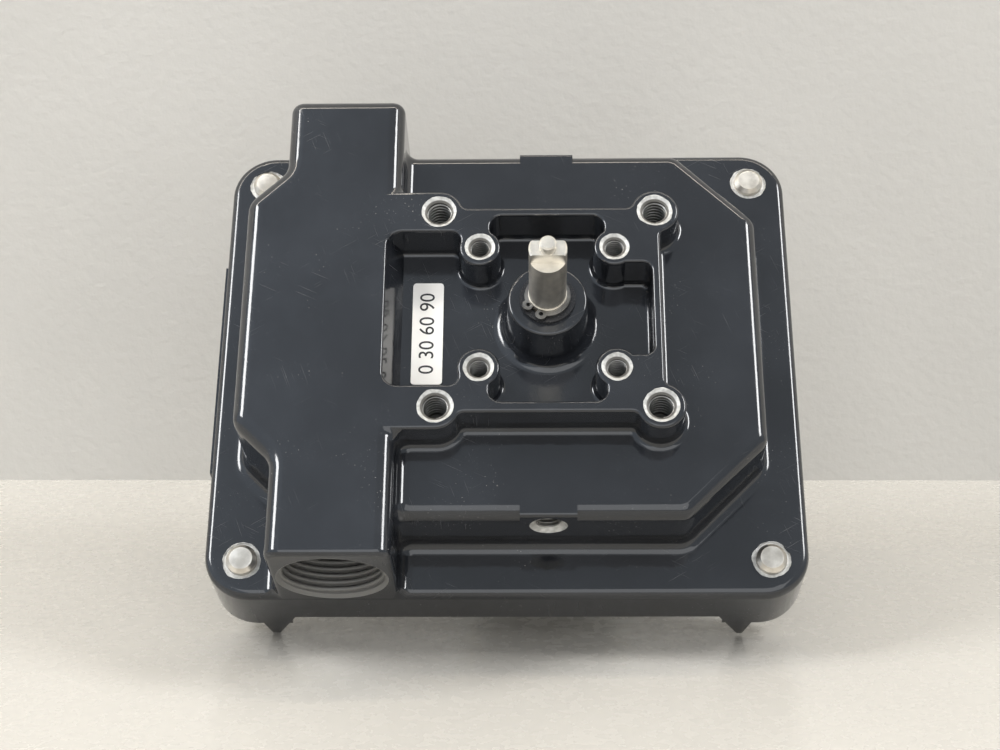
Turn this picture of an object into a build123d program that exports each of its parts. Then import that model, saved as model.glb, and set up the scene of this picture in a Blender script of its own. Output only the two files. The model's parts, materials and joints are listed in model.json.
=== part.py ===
from build123d import *
import math
import os

os.makedirs("parts", exist_ok=True)

# Frame: Z = 0 is the mounting face, +Z points out of it, and the drive shaft runs along Z through the origin.
# Y points away from the conduit entry. All lengths are in millimetres and all angles in degrees.

# Mounting pad and its two square hole patterns
outer_spacing = 57.15
inner_spacing = 35.355
outer_hole_radius = 3.25
outer_hole_depth = 12.0
outer_ring_radius = 4.65
inner_hole_radius = 2.5
inner_hole_depth = 11.0
inner_ring_radius = 3.97
hole_mouth_angle = 118.0
mouth_angle = 90.0
outer_boss_radius = 6.3
inner_boss_radius = 5.45
pad_right = 29.7
pad_top = 29.7
pad_bottom = 30.3
pad_edge_radius = 0.9
pad_base_radius = 2.0
pad_corner_radius = 2.2

# Levels of the casting below the mounting face
plateau_drop = 10.5
pocket_depth = 12.0
flange_drop = 30.0
flange_thickness = 9.0
roof_thickness = 4.0
wall = 4.5
joint_overlap = 8.0

# Flange outline and cover bolts
bolt_spacing_x = 137.3
bolt_spacing_y = 114.4
bolt_inset = 10.0
flange_centre_x = -11.0
flange_centre_y = -1.5
flange_corner_radius = 12.2
flange_edge_radius = 2.3
side_pad_length = 63.0
side_pad_relief = 0.6
cavity_inset = 11.0
cavity_corner_radius = 30.0

# Plateau, a low table with two cut corners
plateau_right = 56.4
plateau_top = 53.5
plateau_bottom = 54.4
plateau_corner = 20.8
plateau_corner_radius = 5.0
plateau_edge_radius = 3.6
plateau_base_radius = 3.0
spot_boss_width = 14.5
spot_boss_edge_radius = 1.0

# Conduit block, narrow at both ends and wide in the middle
block_left = 70.0
block_right = 38.7
block_wide = 80.0
block_top = 65.3
block_bottom = 68.6
block_shoulder_top = 38.0
block_shoulder_bottom = 37.5
block_step_radius = 6.0
block_edge_radius = 4.0
block_end_radius = 1.5
block_corner_radius = 3.0
block_base_radius = 3.5

# Conduit entry, bored along Y into the block
conduit_x = -54.4
conduit_z = -17.0
conduit_radius = 13.3
conduit_ring_radius = 14.15
conduit_length = 20.0

# Earth hole in the lower plateau wall
earth_hole_radius = 2.9
earth_ring_radius = 4.75
earth_hole_depth = 10.0
earth_z = -17.0

# Pockets sunk into the pad
pocket_left = 42.2
pocket_left_half = 22.6
pocket_right = 27.3
pocket_neck_top = 13.0
pocket_neck_bottom = 14.0
pocket_lobe_half = 15.0
pocket_lobe_height = 27.3
pocket_left_radius = 4.0
pocket_lobe_radius = 3.2
pocket_side_radius = 2.5
pocket_bulge_radius = 1.5
pocket_floor_radius = 1.2
pocket_edge_radius = 0.8
pocket_slope = 3.7
pocket_web = 0.25

# Shaft boss
boss_radius = 10.25
boss_height = 3.2
boss_edge_radius = 0.8
boss_foot_radius = 14.2
boss_draft = 0.6

# Inside of the housing
cover_bolt_radius = 3.97
thread_clearance = 0.03
cover_bolt_clearance = 0.25
bush_radius = 6.5
bracket_post_radius = 4.0
roof_screw_reach = 2.8
bracket_screw_reach = 2.5
screw_end_gap = 0.5
earth_boss_wall = 3.0
bush_length = 24.0
bush_recess = 1.0
spot_face_radius = 4.95
spot_face_depth = 0.3

# Drive shaft, its tang and the pieces that keep it in its bushes
shaft_radius = 4.7625
journal_radius = 4.95
shoulder_gap = 1.0
shaft_body_end = 25.4
tang_length = 4.0
tang_thickness = 4.2
tang_chamfer = 0.4
pilot_radius = 2.065
pilot_length = 2.8
running_clearance = 0.04
collar_radius = 6.3
collar_thickness = 2.0
axial_play = 0.2
ring_play = 0.1
washer_radius = 7.2
washer_thickness = 1.1
ring_thickness = 1.0
ring_radius = 5.92
ring_groove_radius = 4.1
ring_gap_angle = 230.2
ring_lug_spread = 22.3
ring_lug_radius = 1.5
ring_lug_reach = 5.6
ring_lug_hole = 0.55
seal_section = 1.5
seal_groove_radius = 3.4
seal_groove_height = 1.8
ring_gap_width = 1.6

# Cover
cover_rim = 6.5
cover_edge_radius = 1.5
corner_pad_height = 6.0
corner_pad_width = 21.6
blade_clearance = 0.2
raised_height = 92.0
raised_corner_radius = 14.0
raised_edge_radius = 4.0
cover_front_z = -59.0
cover_wall = 4.0
cover_bush_length = 10.0
foot_tip_z = -59.0
foot_tip_x = 62.5
foot_tip_width = 1.4
foot_inner_x = 55.5
foot_outer_x = 66.0
foot_depth = 2.8
gasket_inset = 8.0
gasket_width = 2.6
gasket_depth = 2.2
gasket_corner_radius = 31.0

# Cover bolts and washers
bolt_head_flats = 12.7
bolt_head_height = 5.3
bolt_projection = 2.0
bolt_tip_chamfer = 0.97
bolt_washer_radius = 7.0
bolt_washer_thickness = 1.2

# Indicator dome and drum
dome_flange_radius = 37.0
dome_flange_thickness = 3.0
dome_radius = 30.0
dome_wall = 2.6
dome_headroom = 4.0
dome_edge_radius = 5.0
dome_screw_circle = 33.6
dome_screw_radius = 1.5
dome_screw_head_radius = 2.7
dome_screw_head_height = 1.8
dome_screw_reach = 3.0
dome_gasket_thickness = 0.8
drum_radius = 24.0
drum_wall = 2.0
drum_start_z = -65.0
drum_front_z = -96.0
drum_plate = 2.5
drum_hub_radius = 7.0
drum_seat_radius = 3.5
drum_seat_z = -61.0
drum_seat_depth = 3.5
drum_screw_reach = 7.0
panel_thickness = 0.7
panel_span = 64.0
panel_margin = 4.0
drum_screw_head_radius = 4.0
drum_screw_head_height = 2.2
small_screw_radius = 1.55
small_screw_head_radius = 3.0
small_screw_head_height = 2.0

# Cams on their hub
hub_radius = 7.0
hub_rim_radius = 9.0
hub_rim_thickness = 1.3
hub_clearance = 0.03
cam_thickness = 5.0
cam_low_radius = 10.55
cam_high_radius = 12.57
cam_start_angle = 10.0
cam_turn = 88.0
cam_lobe_turn = 40.0
cam_back_turn = 30.0
cam_steps = 8
spring_wire_radius = 0.5
spring_turns = 2.0

# Switches, stacked under a bracket, with their levers
switch_width = 15.9
switch_length = 27.8
switch_thickness = 10.3
switch_front_x = 19.0
switch_start_y = -16.0
switch_hole_pitch = 22.2
switch_hole_x = 31.8
switch_hole_radius = 1.45
switch_nut_flats = 5.0
switch_nut_height = 2.0
blade_width = 5.0
blade_thickness = 0.8
blade_length = 3.4
blade_pitch = 8.9
lever_pivot_x = 17.2
lever_pivot_y = -12.5
lever_tip_x = 13.3
lever_width = 4.4
lever_thickness = 0.7
lever_tip_radius = 2.4
lever_eye_radius = 1.5
lever_pin_radius = 0.7
lever_pin_inset = 0.1
lever_press_angle = 9.0
ear_gap = 5.0
plunger_radius = 1.2
plunger_y = -7.0
plunger_height = 1.6
bracket_thickness = 1.5
bracket_left = 15.5
bracket_right = 48.0
bracket_half = 27.0
bracket_drop = 4.5
bracket_corner_radius = 3.0
bracket_screw_x = 42.0
bracket_screw_y = 22.0

# Terminal strip and the earth screw inside
strip_x = -29.0
strip_width = 11.0
strip_ear = 5.3
strip_corner_radius = 1.0
strip_base = 7.0
strip_height = 13.0
terminal_count = 8
terminal_pitch = 7.0
strip_rib = 1.4
strip_screw_inset = 2.6
terminal_floor = 2.0
terminal_screw_head = 2.4
earth_screw_x = -29.0
earth_screw_y = 43.0

# Number label in the side pocket
label_width = 8.2
label_length = 30.2
label_thickness = 0.3
label_x = -31.65
label_y = -1.8
label_corner_radius = 1.0

# Levels and outlines that follow from the sizes above
split_z = -flange_drop - flange_thickness
plateau_z = -plateau_drop
flange_z = -flange_drop
floor_z = -pocket_depth
roof_z = floor_z - roof_thickness
flange_width = bolt_spacing_x + 2 * bolt_inset
flange_height = bolt_spacing_y + 2 * bolt_inset
flange_centre = (flange_centre_x, flange_centre_y)
flange_left_x = flange_centre_x - flange_width / 2
pocket_left_inner = inner_spacing / 2 + inner_boss_radius - pocket_web
block_right_end = -block_right - joint_overlap
conduit_inner_y = block_bottom - conduit_length
bush_end_z = boss_height - bush_recess - bush_length
bracket_top_z = roof_z - bracket_drop
cover_rim_z = split_z - cover_rim
corner_pad_z = cover_rim_z - corner_pad_height
cover_inner_z = cover_front_z + cover_wall
collar_top_z = bush_end_z - axial_play
hub_top_z = collar_top_z - collar_thickness
shaft_end_z = drum_front_z + drum_plate + drum_seat_depth
ring_z = boss_height + washer_thickness + ring_play
shoulder_z = ring_z + ring_thickness + shoulder_gap
housing_seal_z = (boss_height + bush_end_z) / 2
cover_seal_z = cover_front_z + cover_bush_length / 2 - seal_groove_height / 2
switch_middle_z = bracket_top_z - bracket_thickness - switch_thickness / 2
lower_switch_z = switch_middle_z - switch_thickness
hub_bottom_z = lower_switch_z - cam_thickness / 2 - hub_rim_thickness
blade_end_x = switch_front_x + switch_width + blade_length
raised_width = 2 * (blade_end_x - flange_centre_x + blade_clearance + wall)
dome_base_z = cover_front_z - dome_gasket_thickness
dome_top_z = drum_front_z - drum_screw_head_height - dome_headroom - dome_wall
strip_length = terminal_count * terminal_pitch + strip_rib + 2 * strip_ear
strip_screw_y = strip_length / 2 - strip_screw_inset
bracket_screw_places = [(bracket_screw_x, bracket_screw_y), (bracket_screw_x, -bracket_screw_y)]
strip_screw_places = [(strip_x, strip_screw_y), (strip_x, -strip_screw_y)]

# Margin by which cutting tools run past a face, and the slack of the windows that pick edges
margin = 1.0
slack = 0.01


def near(shapes, places, reach=0.6):
    """Pick the vertices or edges whose middle lies close to one of the given XY places."""
    return [s for s in shapes if any(math.dist((s.center().X, s.center().Y), p) < reach for p in places)]


def at_level(edges, z):
    """Pick the edges that lie flat at height z."""
    return [e for e in edges if abs(e.center().Z - z) < slack and e.bounding_box().size.Z < slack]


def inside(edges, left, right, bottom, top):
    """Pick the edges whose middle lies inside the XY window."""
    return [e for e in edges if left < e.center().X < right and bottom < e.center().Y < top]


# Pockets: two crossed lobes and a wide side pocket, with a boss left round each inner hole
with BuildPart() as pocket:
    with BuildSketch(Plane.XY) as pocket_outline:
        Rectangle(2 * pocket_lobe_half, 2 * pocket_lobe_height)
        Rectangle(pocket_left_inner, inner_spacing, align=(Align.MAX, Align.CENTER))
        with Locations((pocket_right / 2, (pocket_neck_top - pocket_neck_bottom) / 2)):
            Rectangle(pocket_right, pocket_neck_top + pocket_neck_bottom)
        with Locations((-(pocket_left + pocket_left_inner) / 2, 0)):
            Rectangle(pocket_left - pocket_left_inner, 2 * pocket_left_half)
        with GridLocations(inner_spacing, inner_spacing, 2, 2):
            Circle(inner_boss_radius, mode=Mode.SUBTRACT)
        corners = pocket_outline.vertices()
        fillet(corners.filter_by(lambda v: v.X < -pocket_left + margin), pocket_left_radius)
        corners = pocket_outline.vertices()
        inner_corners = [(-pocket_left_inner, y) for y in (-pocket_left_half, pocket_left_half)]
        fillet(near(corners, inner_corners), pocket_side_radius)
        corners = pocket_outline.vertices()
        fillet(corners.filter_by(lambda v: abs(v.Y) > pocket_lobe_height - margin), pocket_lobe_radius)
        corners = pocket_outline.vertices()
        fillet(corners.filter_by(lambda v: v.X > pocket_right - margin), pocket_side_radius)
        corners = pocket_outline.vertices()
        bulge_ends = corners.filter_by(
            lambda v: abs(abs(v.X) - pocket_lobe_half) < slack
            and 0 < abs(v.Y) - inner_spacing / 2 < inner_boss_radius
        )
        fillet(bulge_ends, pocket_bulge_radius)
    extrude(amount=-pocket_depth)
    fillet(pocket.faces().sort_by(Axis.Z)[0].edges(), pocket_floor_radius)

# Conduit block with rounded upper edges
with BuildPart() as conduit_block:
    step = block_wide - block_left
    with BuildSketch(Plane.XY.offset(split_z)) as block_outline:
        with BuildLine():
            Polyline(
                (-block_left, -block_bottom),
                (-block_right, -block_bottom),
                (-block_right, block_top),
                (-block_left, block_top),
                (-block_left, block_shoulder_top + step / 2),
                (-block_wide, block_shoulder_top - step / 2),
                (-block_wide, -block_shoulder_bottom + step / 2),
                (-block_left, -block_shoulder_bottom - step / 2),
                close=True,
            )
        make_face()
        shoulders = block_outline.vertices().filter_by(lambda v: abs(v.Y) < block_shoulder_top + step)
        fillet(shoulders, min(block_step_radius, 1.6 * step))
        fillet(block_outline.vertices().filter_by(lambda v: v.Y > block_top - margin), block_corner_radius)
    extrude(amount=-split_z)
    face_edges = conduit_block.faces().sort_by(Axis.Z)[-1].edges()
    fillet(face_edges.filter_by(lambda e: e.center().Y > -block_bottom + margin), block_edge_radius)
    end_edges = conduit_block.faces().sort_by(Axis.Y)[0].edges()
    fillet(end_edges.filter_by(lambda e: e.center().Z > split_z + margin), block_end_radius)

# Shaft boss, turned, with a hollow flare at its foot
foot_rise = boss_foot_radius - boss_radius - boss_draft
with BuildPart() as boss:
    with BuildSketch(Plane.XZ):
        with BuildLine():
            Line((0, roof_z), (0, boss_height))
            Line((0, boss_height), (boss_radius - boss_edge_radius, boss_height))
            RadiusArc(
                (boss_radius - boss_edge_radius, boss_height),
                (boss_radius, boss_height - boss_edge_radius),
                boss_edge_radius,
            )
            Line((boss_radius, boss_height - boss_edge_radius), (boss_radius + boss_draft, floor_z + foot_rise))
            RadiusArc(
                (boss_radius + boss_draft, floor_z + foot_rise),
                (boss_foot_radius, floor_z),
                -foot_rise,
            )
            Line((boss_foot_radius, floor_z), (boss_foot_radius, roof_z))
            Line((boss_foot_radius, roof_z), (0, roof_z))
        make_face()
    revolve(axis=Axis.Z)

with BuildPart() as housing:
    # Flange with a rounded upper edge and a slightly proud pad on the side wall
    with BuildSketch(Plane.XY.offset(split_z)):
        with Locations(flange_centre):
            RectangleRounded(flange_width, flange_height, flange_corner_radius)
    extrude(amount=flange_thickness)
    fillet(housing.faces().sort_by(Axis.Z)[-1].edges(), flange_edge_radius)
    with BuildSketch(Plane.XY.offset(split_z)):
        with Locations((flange_left_x + margin, flange_centre_y)):
            Rectangle(margin + side_pad_relief, side_pad_length, align=(Align.MAX, Align.CENTER))
    extrude(amount=flange_thickness - flange_edge_radius)

    # Plateau
    with BuildSketch(Plane.XY.offset(flange_z)) as plateau_outline:
        with BuildLine():
            Polyline(
                (block_right_end, -plateau_bottom),
                (plateau_right - plateau_corner, -plateau_bottom),
                (plateau_right, -plateau_bottom + plateau_corner),
                (plateau_right, plateau_top - plateau_corner),
                (plateau_right - plateau_corner, plateau_top),
                (block_right_end, plateau_top),
                close=True,
            )
        make_face()
        fillet(plateau_outline.vertices().filter_by(lambda v: v.X > 0), plateau_corner_radius)
    extrude(amount=plateau_z - flange_z)
    upper = housing.faces().sort_by(Axis.Z)[-1].edges()
    fillet(upper.filter_by(lambda e: e.center().X > -block_right), plateau_edge_radius)

    # Spot bosses that stand square to the plateau's long walls
    with BuildSketch(Plane.XY.offset(flange_z)):
        with Locations((0, (plateau_top - plateau_bottom) / 2)):
            Rectangle(spot_boss_width, plateau_top + plateau_bottom)
    extrude(amount=plateau_z - flange_z)
    walls_y = (-plateau_bottom - margin, plateau_top + margin)
    spot_edges = inside(at_level(housing.edges(), plateau_z), -margin, margin, *walls_y)
    fillet(spot_edges, spot_boss_edge_radius)
    foot_edges = inside(
        at_level(housing.edges(), flange_z), block_right_end + slack, plateau_right + margin, *walls_y
    )
    fillet(foot_edges, plateau_base_radius)

    # Mounting pad with a boss round each outer hole
    with BuildSketch(Plane.XY.offset(plateau_z)) as pad_outline:
        with BuildLine():
            Polyline(
                (block_right_end, -pad_bottom),
                (pad_right, -pad_bottom),
                (pad_right, pad_top),
                (block_right_end, pad_top),
                close=True,
            )
        make_face()
        with GridLocations(outer_spacing, outer_spacing, 2, 2):
            Circle(outer_boss_radius)
        with Locations((-outer_spacing / 2, 0)):
            Rectangle(
                -block_right_end - outer_spacing / 2,
                outer_spacing + 2 * outer_boss_radius,
                align=(Align.MAX, Align.CENTER),
            )
        blends = pad_outline.vertices().filter_by(lambda v: v.X > margin - outer_spacing / 2)
        fillet(blends, pad_corner_radius)
    extrude(amount=plateau_drop)
    pad_reach = outer_spacing / 2 + outer_boss_radius + margin
    pad_foot = inside(
        at_level(housing.edges(), plateau_z), block_right_end + slack, pad_reach, -pad_reach, pad_reach
    )
    fillet(pad_foot, pad_base_radius)
    pad_rim = housing.faces().sort_by(Axis.Z)[-1].edges()
    fillet(pad_rim.filter_by(lambda e: e.center().X > block_right_end + slack), pad_edge_radius)

    # Conduit block, blended into the flange and the plateau
    add(conduit_block.part)
    foot_reach = block_top - block_base_radius
    block_foot = inside(
        at_level(housing.edges(), flange_z), -block_wide - margin, margin - block_left, -foot_reach, foot_reach
    )
    fillet(block_foot, block_base_radius)

    # Pockets, the lean of the side pocket's outer wall, and the shaft boss
    add(pocket.part, mode=Mode.SUBTRACT)
    pocket_rim = inside(
        at_level(housing.edges(), 0),
        -pocket_left - slack,
        pocket_right + slack,
        -pocket_lobe_height - slack,
        pocket_lobe_height + slack,
    )
    fillet(pocket_rim, pocket_edge_radius)
    with BuildSketch(Plane.XZ):
        with BuildLine():
            Polyline(
                (-pocket_left, -pocket_edge_radius),
                (-pocket_left - margin, -pocket_edge_radius),
                (-pocket_left - margin, floor_z - margin),
                (pocket_slope - pocket_left, floor_z - margin),
                (pocket_slope - pocket_left, floor_z),
                close=True,
            )
        make_face()
    extrude(amount=pocket_left_half + margin, both=True)
    add(boss.part)

    # Cavity under the plateau, the flange and the block, open at the split
    with BuildSketch(Plane.XY.offset(split_z)):
        with Locations(flange_centre):
            RectangleRounded(
                flange_width - 2 * cavity_inset,
                flange_height - 2 * cavity_inset,
                cavity_corner_radius,
            )
    extrude(amount=flange_z - roof_thickness - split_z, mode=Mode.SUBTRACT)
    with BuildSketch(Plane.XY.offset(split_z)):
        add(plateau_outline.sketch.moved(Location((0, 0, split_z - flange_z))))
        offset(amount=-wall, kind=Kind.INTERSECTION)
    extrude(amount=roof_z - split_z, mode=Mode.SUBTRACT)
    with BuildSketch(Plane.XY.offset(split_z)):
        with Locations((-(block_left + block_right) / 2, (block_top - wall - conduit_inner_y) / 2)):
            RectangleRounded(
                block_left - block_right - 2 * wall,
                block_top - wall + conduit_inner_y,
                block_corner_radius,
            )
    extrude(amount=-wall - split_z, mode=Mode.SUBTRACT)

    # Guide for the shaft bush, standing inside under the boss
    with BuildSketch(Plane.XY.offset(bush_end_z)):
        Circle(boss_radius)
    extrude(amount=roof_z - bush_end_z + margin)
    with BuildSketch(Plane.XY.offset(bush_end_z)):
        Circle(bush_radius)
    extrude(amount=boss_height - bush_end_z, mode=Mode.SUBTRACT)

    # Posts for the switch bracket and a boss behind the earth hole
    with BuildSketch(Plane.XY.offset(bracket_top_z)):
        with Locations(*bracket_screw_places):
            Circle(bracket_post_radius)
    extrude(amount=roof_z - bracket_top_z + margin)
    with BuildSketch(Plane.XZ.offset(plateau_bottom - wall - margin)):
        with Locations((0, earth_z)):
            Circle(earth_hole_radius + earth_boss_wall)
    extrude(amount=-(earth_hole_depth - wall + earth_boss_wall))

    # Tapped holes for the inner screws
    with BuildSketch(Plane.XY.offset(bracket_top_z)):
        with Locations(*bracket_screw_places):
            Circle(small_screw_radius + thread_clearance)
    extrude(amount=bracket_screw_reach + screw_end_gap, mode=Mode.SUBTRACT)
    with BuildSketch(Plane.XY.offset(roof_z)):
        with Locations(*strip_screw_places, (earth_screw_x, earth_screw_y)):
            Circle(small_screw_radius + thread_clearance)
    extrude(amount=roof_screw_reach + screw_end_gap, mode=Mode.SUBTRACT)

    # Tapped holes of the two square patterns
    with Locations(Plane.XY):
        with GridLocations(outer_spacing, outer_spacing, 2, 2):
            CounterSinkHole(
                outer_hole_radius,
                outer_ring_radius,
                depth=outer_hole_depth,
                counter_sink_angle=hole_mouth_angle,
            )
        with GridLocations(inner_spacing, inner_spacing, 2, 2):
            CounterSinkHole(
                inner_hole_radius,
                inner_ring_radius,
                depth=inner_hole_depth,
                counter_sink_angle=hole_mouth_angle,
            )

    # Through holes for the cover bolts, each in a shallow spot face
    with Locations(Plane.XY.offset(flange_z)):
        with Locations(flange_centre):
            with GridLocations(bolt_spacing_x, bolt_spacing_y, 2, 2):
                CounterBoreHole(
                    cover_bolt_radius + thread_clearance,
                    spot_face_radius,
                    spot_face_depth,
                    depth=flange_thickness + margin,
                )

    # Conduit entry and earth hole, both bored along Y
    with Locations(Plane((conduit_x, -block_bottom, conduit_z), x_dir=(1, 0, 0), z_dir=(0, -1, 0))):
        CounterSinkHole(
            conduit_radius,
            conduit_ring_radius,
            depth=block_bottom - conduit_inner_y + margin,
            counter_sink_angle=mouth_angle,
        )
    with Locations(Plane((0, -plateau_bottom, earth_z), x_dir=(1, 0, 0), z_dir=(0, -1, 0))):
        CounterSinkHole(
            earth_hole_radius,
            earth_ring_radius,
            depth=earth_hole_depth,
            counter_sink_angle=mouth_angle,
        )
housing.part.label = "housing"
export_step(housing.part, "parts/housing.step")

# Closed run of the gasket, inside the cover bolts
with BuildSketch(Plane.XY) as gasket_outline:
    with Locations(flange_centre):
        RectangleRounded(
            flange_width - 2 * gasket_inset + gasket_width,
            flange_height - 2 * gasket_inset + gasket_width,
            gasket_corner_radius + gasket_width / 2,
        )
        RectangleRounded(
            flange_width - 2 * gasket_inset - gasket_width,
            flange_height - 2 * gasket_inset - gasket_width,
            gasket_corner_radius - gasket_width / 2,
            mode=Mode.SUBTRACT,
        )

# Cover: rim, corner pads, raised middle and four pointed feet
with BuildPart() as cover:
    with BuildSketch(Plane.XY.offset(cover_rim_z)):
        with Locations(flange_centre):
            RectangleRounded(flange_width, flange_height, flange_corner_radius)
    extrude(amount=cover_rim)
    with BuildSketch(Plane.XY.offset(corner_pad_z)):
        with Locations(flange_centre):
            RectangleRounded(flange_width, flange_height, flange_corner_radius)
            with GridLocations(flange_width - corner_pad_width, flange_height - corner_pad_width, 2, 2):
                Rectangle(corner_pad_width, corner_pad_width, mode=Mode.INTERSECT)
    extrude(amount=corner_pad_height)
    fillet(cover.edges().group_by(Axis.Z)[0], cover_edge_radius)
    with BuildSketch(Plane.XY.offset(cover_front_z)):
        with Locations(flange_centre):
            RectangleRounded(raised_width, raised_height, raised_corner_radius)
    extrude(amount=split_z - cover_front_z)
    fillet(cover.edges().group_by(Axis.Z)[0], raised_edge_radius)

    # Pointed feet along the two long edges, outside the bolt heads
    for side, end in ((-1, -1), (-1, 1), (1, -1), (1, 1)):
        outer_y = flange_centre_y + end * flange_height / 2
        with BuildSketch(Plane.XZ.offset(-outer_y)):
            with BuildLine():
                Polyline(
                    (flange_centre_x + side * foot_inner_x, cover_rim_z + margin),
                    (flange_centre_x + side * (foot_tip_x - foot_tip_width / 2), foot_tip_z),
                    (flange_centre_x + side * (foot_tip_x + foot_tip_width / 2), foot_tip_z),
                    (flange_centre_x + side * foot_outer_x, cover_rim_z + margin),
                    close=True,
                )
            make_face()
        extrude(amount=foot_depth, dir=(0, -end, 0))

    # Inside: cavity, bush guide and the groove for the gasket
    with BuildSketch(Plane.XY.offset(split_z)):
        with Locations(flange_centre):
            RectangleRounded(raised_width - 2 * wall, raised_height - 2 * wall, raised_corner_radius - wall)
    extrude(amount=cover_inner_z - split_z, mode=Mode.SUBTRACT)
    with BuildSketch(Plane.XY.offset(cover_front_z)):
        Circle(boss_radius)
    extrude(amount=cover_bush_length)
    with BuildSketch(Plane.XY.offset(cover_front_z)):
        Circle(bush_radius)
    extrude(amount=cover_bush_length, mode=Mode.SUBTRACT)
    with BuildSketch(Plane.XY.offset(split_z)):
        add(gasket_outline.sketch.moved(Location((0, 0, split_z))))
    extrude(amount=-gasket_depth, mode=Mode.SUBTRACT)

    # Clearance holes for the cover bolts and tapped holes for the dome screws
    with BuildSketch(Plane.XY.offset(corner_pad_z)):
        with Locations(flange_centre):
            with GridLocations(bolt_spacing_x, bolt_spacing_y, 2, 2):
                Circle(cover_bolt_radius + cover_bolt_clearance)
    extrude(amount=split_z - corner_pad_z, mode=Mode.SUBTRACT)
    with BuildSketch(Plane.XY.offset(cover_front_z)):
        with PolarLocations(dome_screw_circle, 4, start_angle=45):
            Circle(dome_screw_radius + thread_clearance)
    extrude(amount=dome_screw_reach + screw_end_gap, mode=Mode.SUBTRACT)
cover.part.label = "cover"
export_step(cover.part, "parts/cover.step")

# Gasket cord lying in the cover's groove
with BuildPart() as cover_gasket:
    with BuildSketch(Plane.XY.offset(split_z)):
        add(gasket_outline.sketch.moved(Location((0, 0, split_z))))
    extrude(amount=-gasket_depth)
cover_gasket.part.label = "cover_gasket"
export_step(cover_gasket.part, "parts/cover_gasket.step")

# Cover bolts, from their heads under the corner pads to their tips in the flange
bolt_seat_z = corner_pad_z - bolt_washer_thickness
with BuildPart() as cover_bolts:
    with BuildSketch(Plane.XY.offset(bolt_seat_z)):
        with Locations(flange_centre):
            with GridLocations(bolt_spacing_x, bolt_spacing_y, 2, 2):
                Circle(cover_bolt_radius)
    extrude(amount=flange_z + bolt_projection - bolt_seat_z)
    chamfer(cover_bolts.edges().group_by(Axis.Z)[-1], bolt_tip_chamfer)
    with BuildSketch(Plane.XY.offset(bolt_seat_z)):
        with Locations(flange_centre):
            with GridLocations(bolt_spacing_x, bolt_spacing_y, 2, 2):
                RegularPolygon(bolt_head_flats / 2, 6, major_radius=False)
    extrude(amount=-bolt_head_height)
cover_bolts.part.label = "cover_bolts"
export_step(cover_bolts.part, "parts/cover_bolts.step")

with BuildPart() as bolt_washers:
    with BuildSketch(Plane.XY.offset(bolt_seat_z)):
        with Locations(flange_centre):
            with GridLocations(bolt_spacing_x, bolt_spacing_y, 2, 2):
                Circle(bolt_washer_radius)
                Circle(cover_bolt_radius + cover_bolt_clearance, mode=Mode.SUBTRACT)
    extrude(amount=bolt_washer_thickness)
bolt_washers.part.label = "bolt_washers"
export_step(bolt_washers.part, "parts/bolt_washers.step")

# Drive shaft: pilot, tang, body with its grooves, thrust collar and drum seat
shaft_tip_z = shaft_body_end + tang_length + pilot_length
with BuildPart() as shaft:
    with BuildSketch(Plane.XY.offset(drum_seat_z)):
        Circle(journal_radius)
    extrude(amount=shoulder_z - drum_seat_z)
    with BuildSketch(Plane.XY.offset(shoulder_z)):
        Circle(shaft_radius)
    extrude(amount=shaft_body_end - shoulder_z)
    with BuildSketch(Plane.XY.offset(shaft_body_end)):
        Circle(shaft_radius)
        Rectangle(4 * shaft_radius, tang_thickness, mode=Mode.INTERSECT)
    extrude(amount=tang_length)
    tang_ends = shaft.faces().sort_by(Axis.Z)[-1].edges().filter_by(GeomType.CIRCLE)
    chamfer(tang_ends, tang_chamfer)
    with BuildSketch(Plane.XY.offset(shaft_body_end)):
        Circle(pilot_radius)
    extrude(amount=tang_length + pilot_length)
    chamfer(shaft.faces().sort_by(Axis.Z)[-1].edges(), tang_chamfer)
    with BuildSketch(Plane.XY.offset(collar_top_z)):
        Circle(collar_radius)
    extrude(amount=-collar_thickness)
    with BuildSketch(Plane.XY.offset(drum_seat_z)):
        Circle(drum_seat_radius)
    extrude(amount=shaft_end_z - drum_seat_z)
    with BuildSketch(Plane.XY.offset(shaft_end_z)):
        Circle(small_screw_radius + thread_clearance)
    extrude(amount=drum_screw_reach + screw_end_gap, mode=Mode.SUBTRACT)
    for groove_z, groove_radius, groove_height in (
        (ring_z, ring_groove_radius, ring_thickness),
        (housing_seal_z, seal_groove_radius, seal_groove_height),
        (cover_seal_z, seal_groove_radius, seal_groove_height),
    ):
        with BuildSketch(Plane.XY.offset(groove_z)):
            Circle(journal_radius + margin)
            Circle(groove_radius, mode=Mode.SUBTRACT)
        extrude(amount=groove_height, mode=Mode.SUBTRACT)
shaft.part.label = "shaft"
export_step(shaft.part, "parts/shaft.step")

# O-rings in the shaft's two seal grooves
with BuildPart() as shaft_seals:
    for groove_z in (housing_seal_z, cover_seal_z):
        with BuildSketch(Plane.XZ):
            with Locations((seal_groove_radius + seal_section / 2, groove_z + seal_groove_height / 2)):
                Circle(seal_section / 2)
        revolve(axis=Axis.Z)
shaft_seals.part.label = "shaft_seals"
export_step(shaft_seals.part, "parts/shaft_seals.step")

# Plain bushes of the housing and the cover
for name, top_z, length in (
    ("housing_bush", boss_height - bush_recess, bush_length),
    ("cover_bush", cover_front_z + cover_bush_length, cover_bush_length),
):
    with BuildPart() as bush:
        with BuildSketch(Plane.XY.offset(top_z)):
            Circle(bush_radius)
            Circle(journal_radius + running_clearance, mode=Mode.SUBTRACT)
        extrude(amount=-length)
    bush.part.label = name
    export_step(bush.part, "parts/" + name + ".step")

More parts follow.
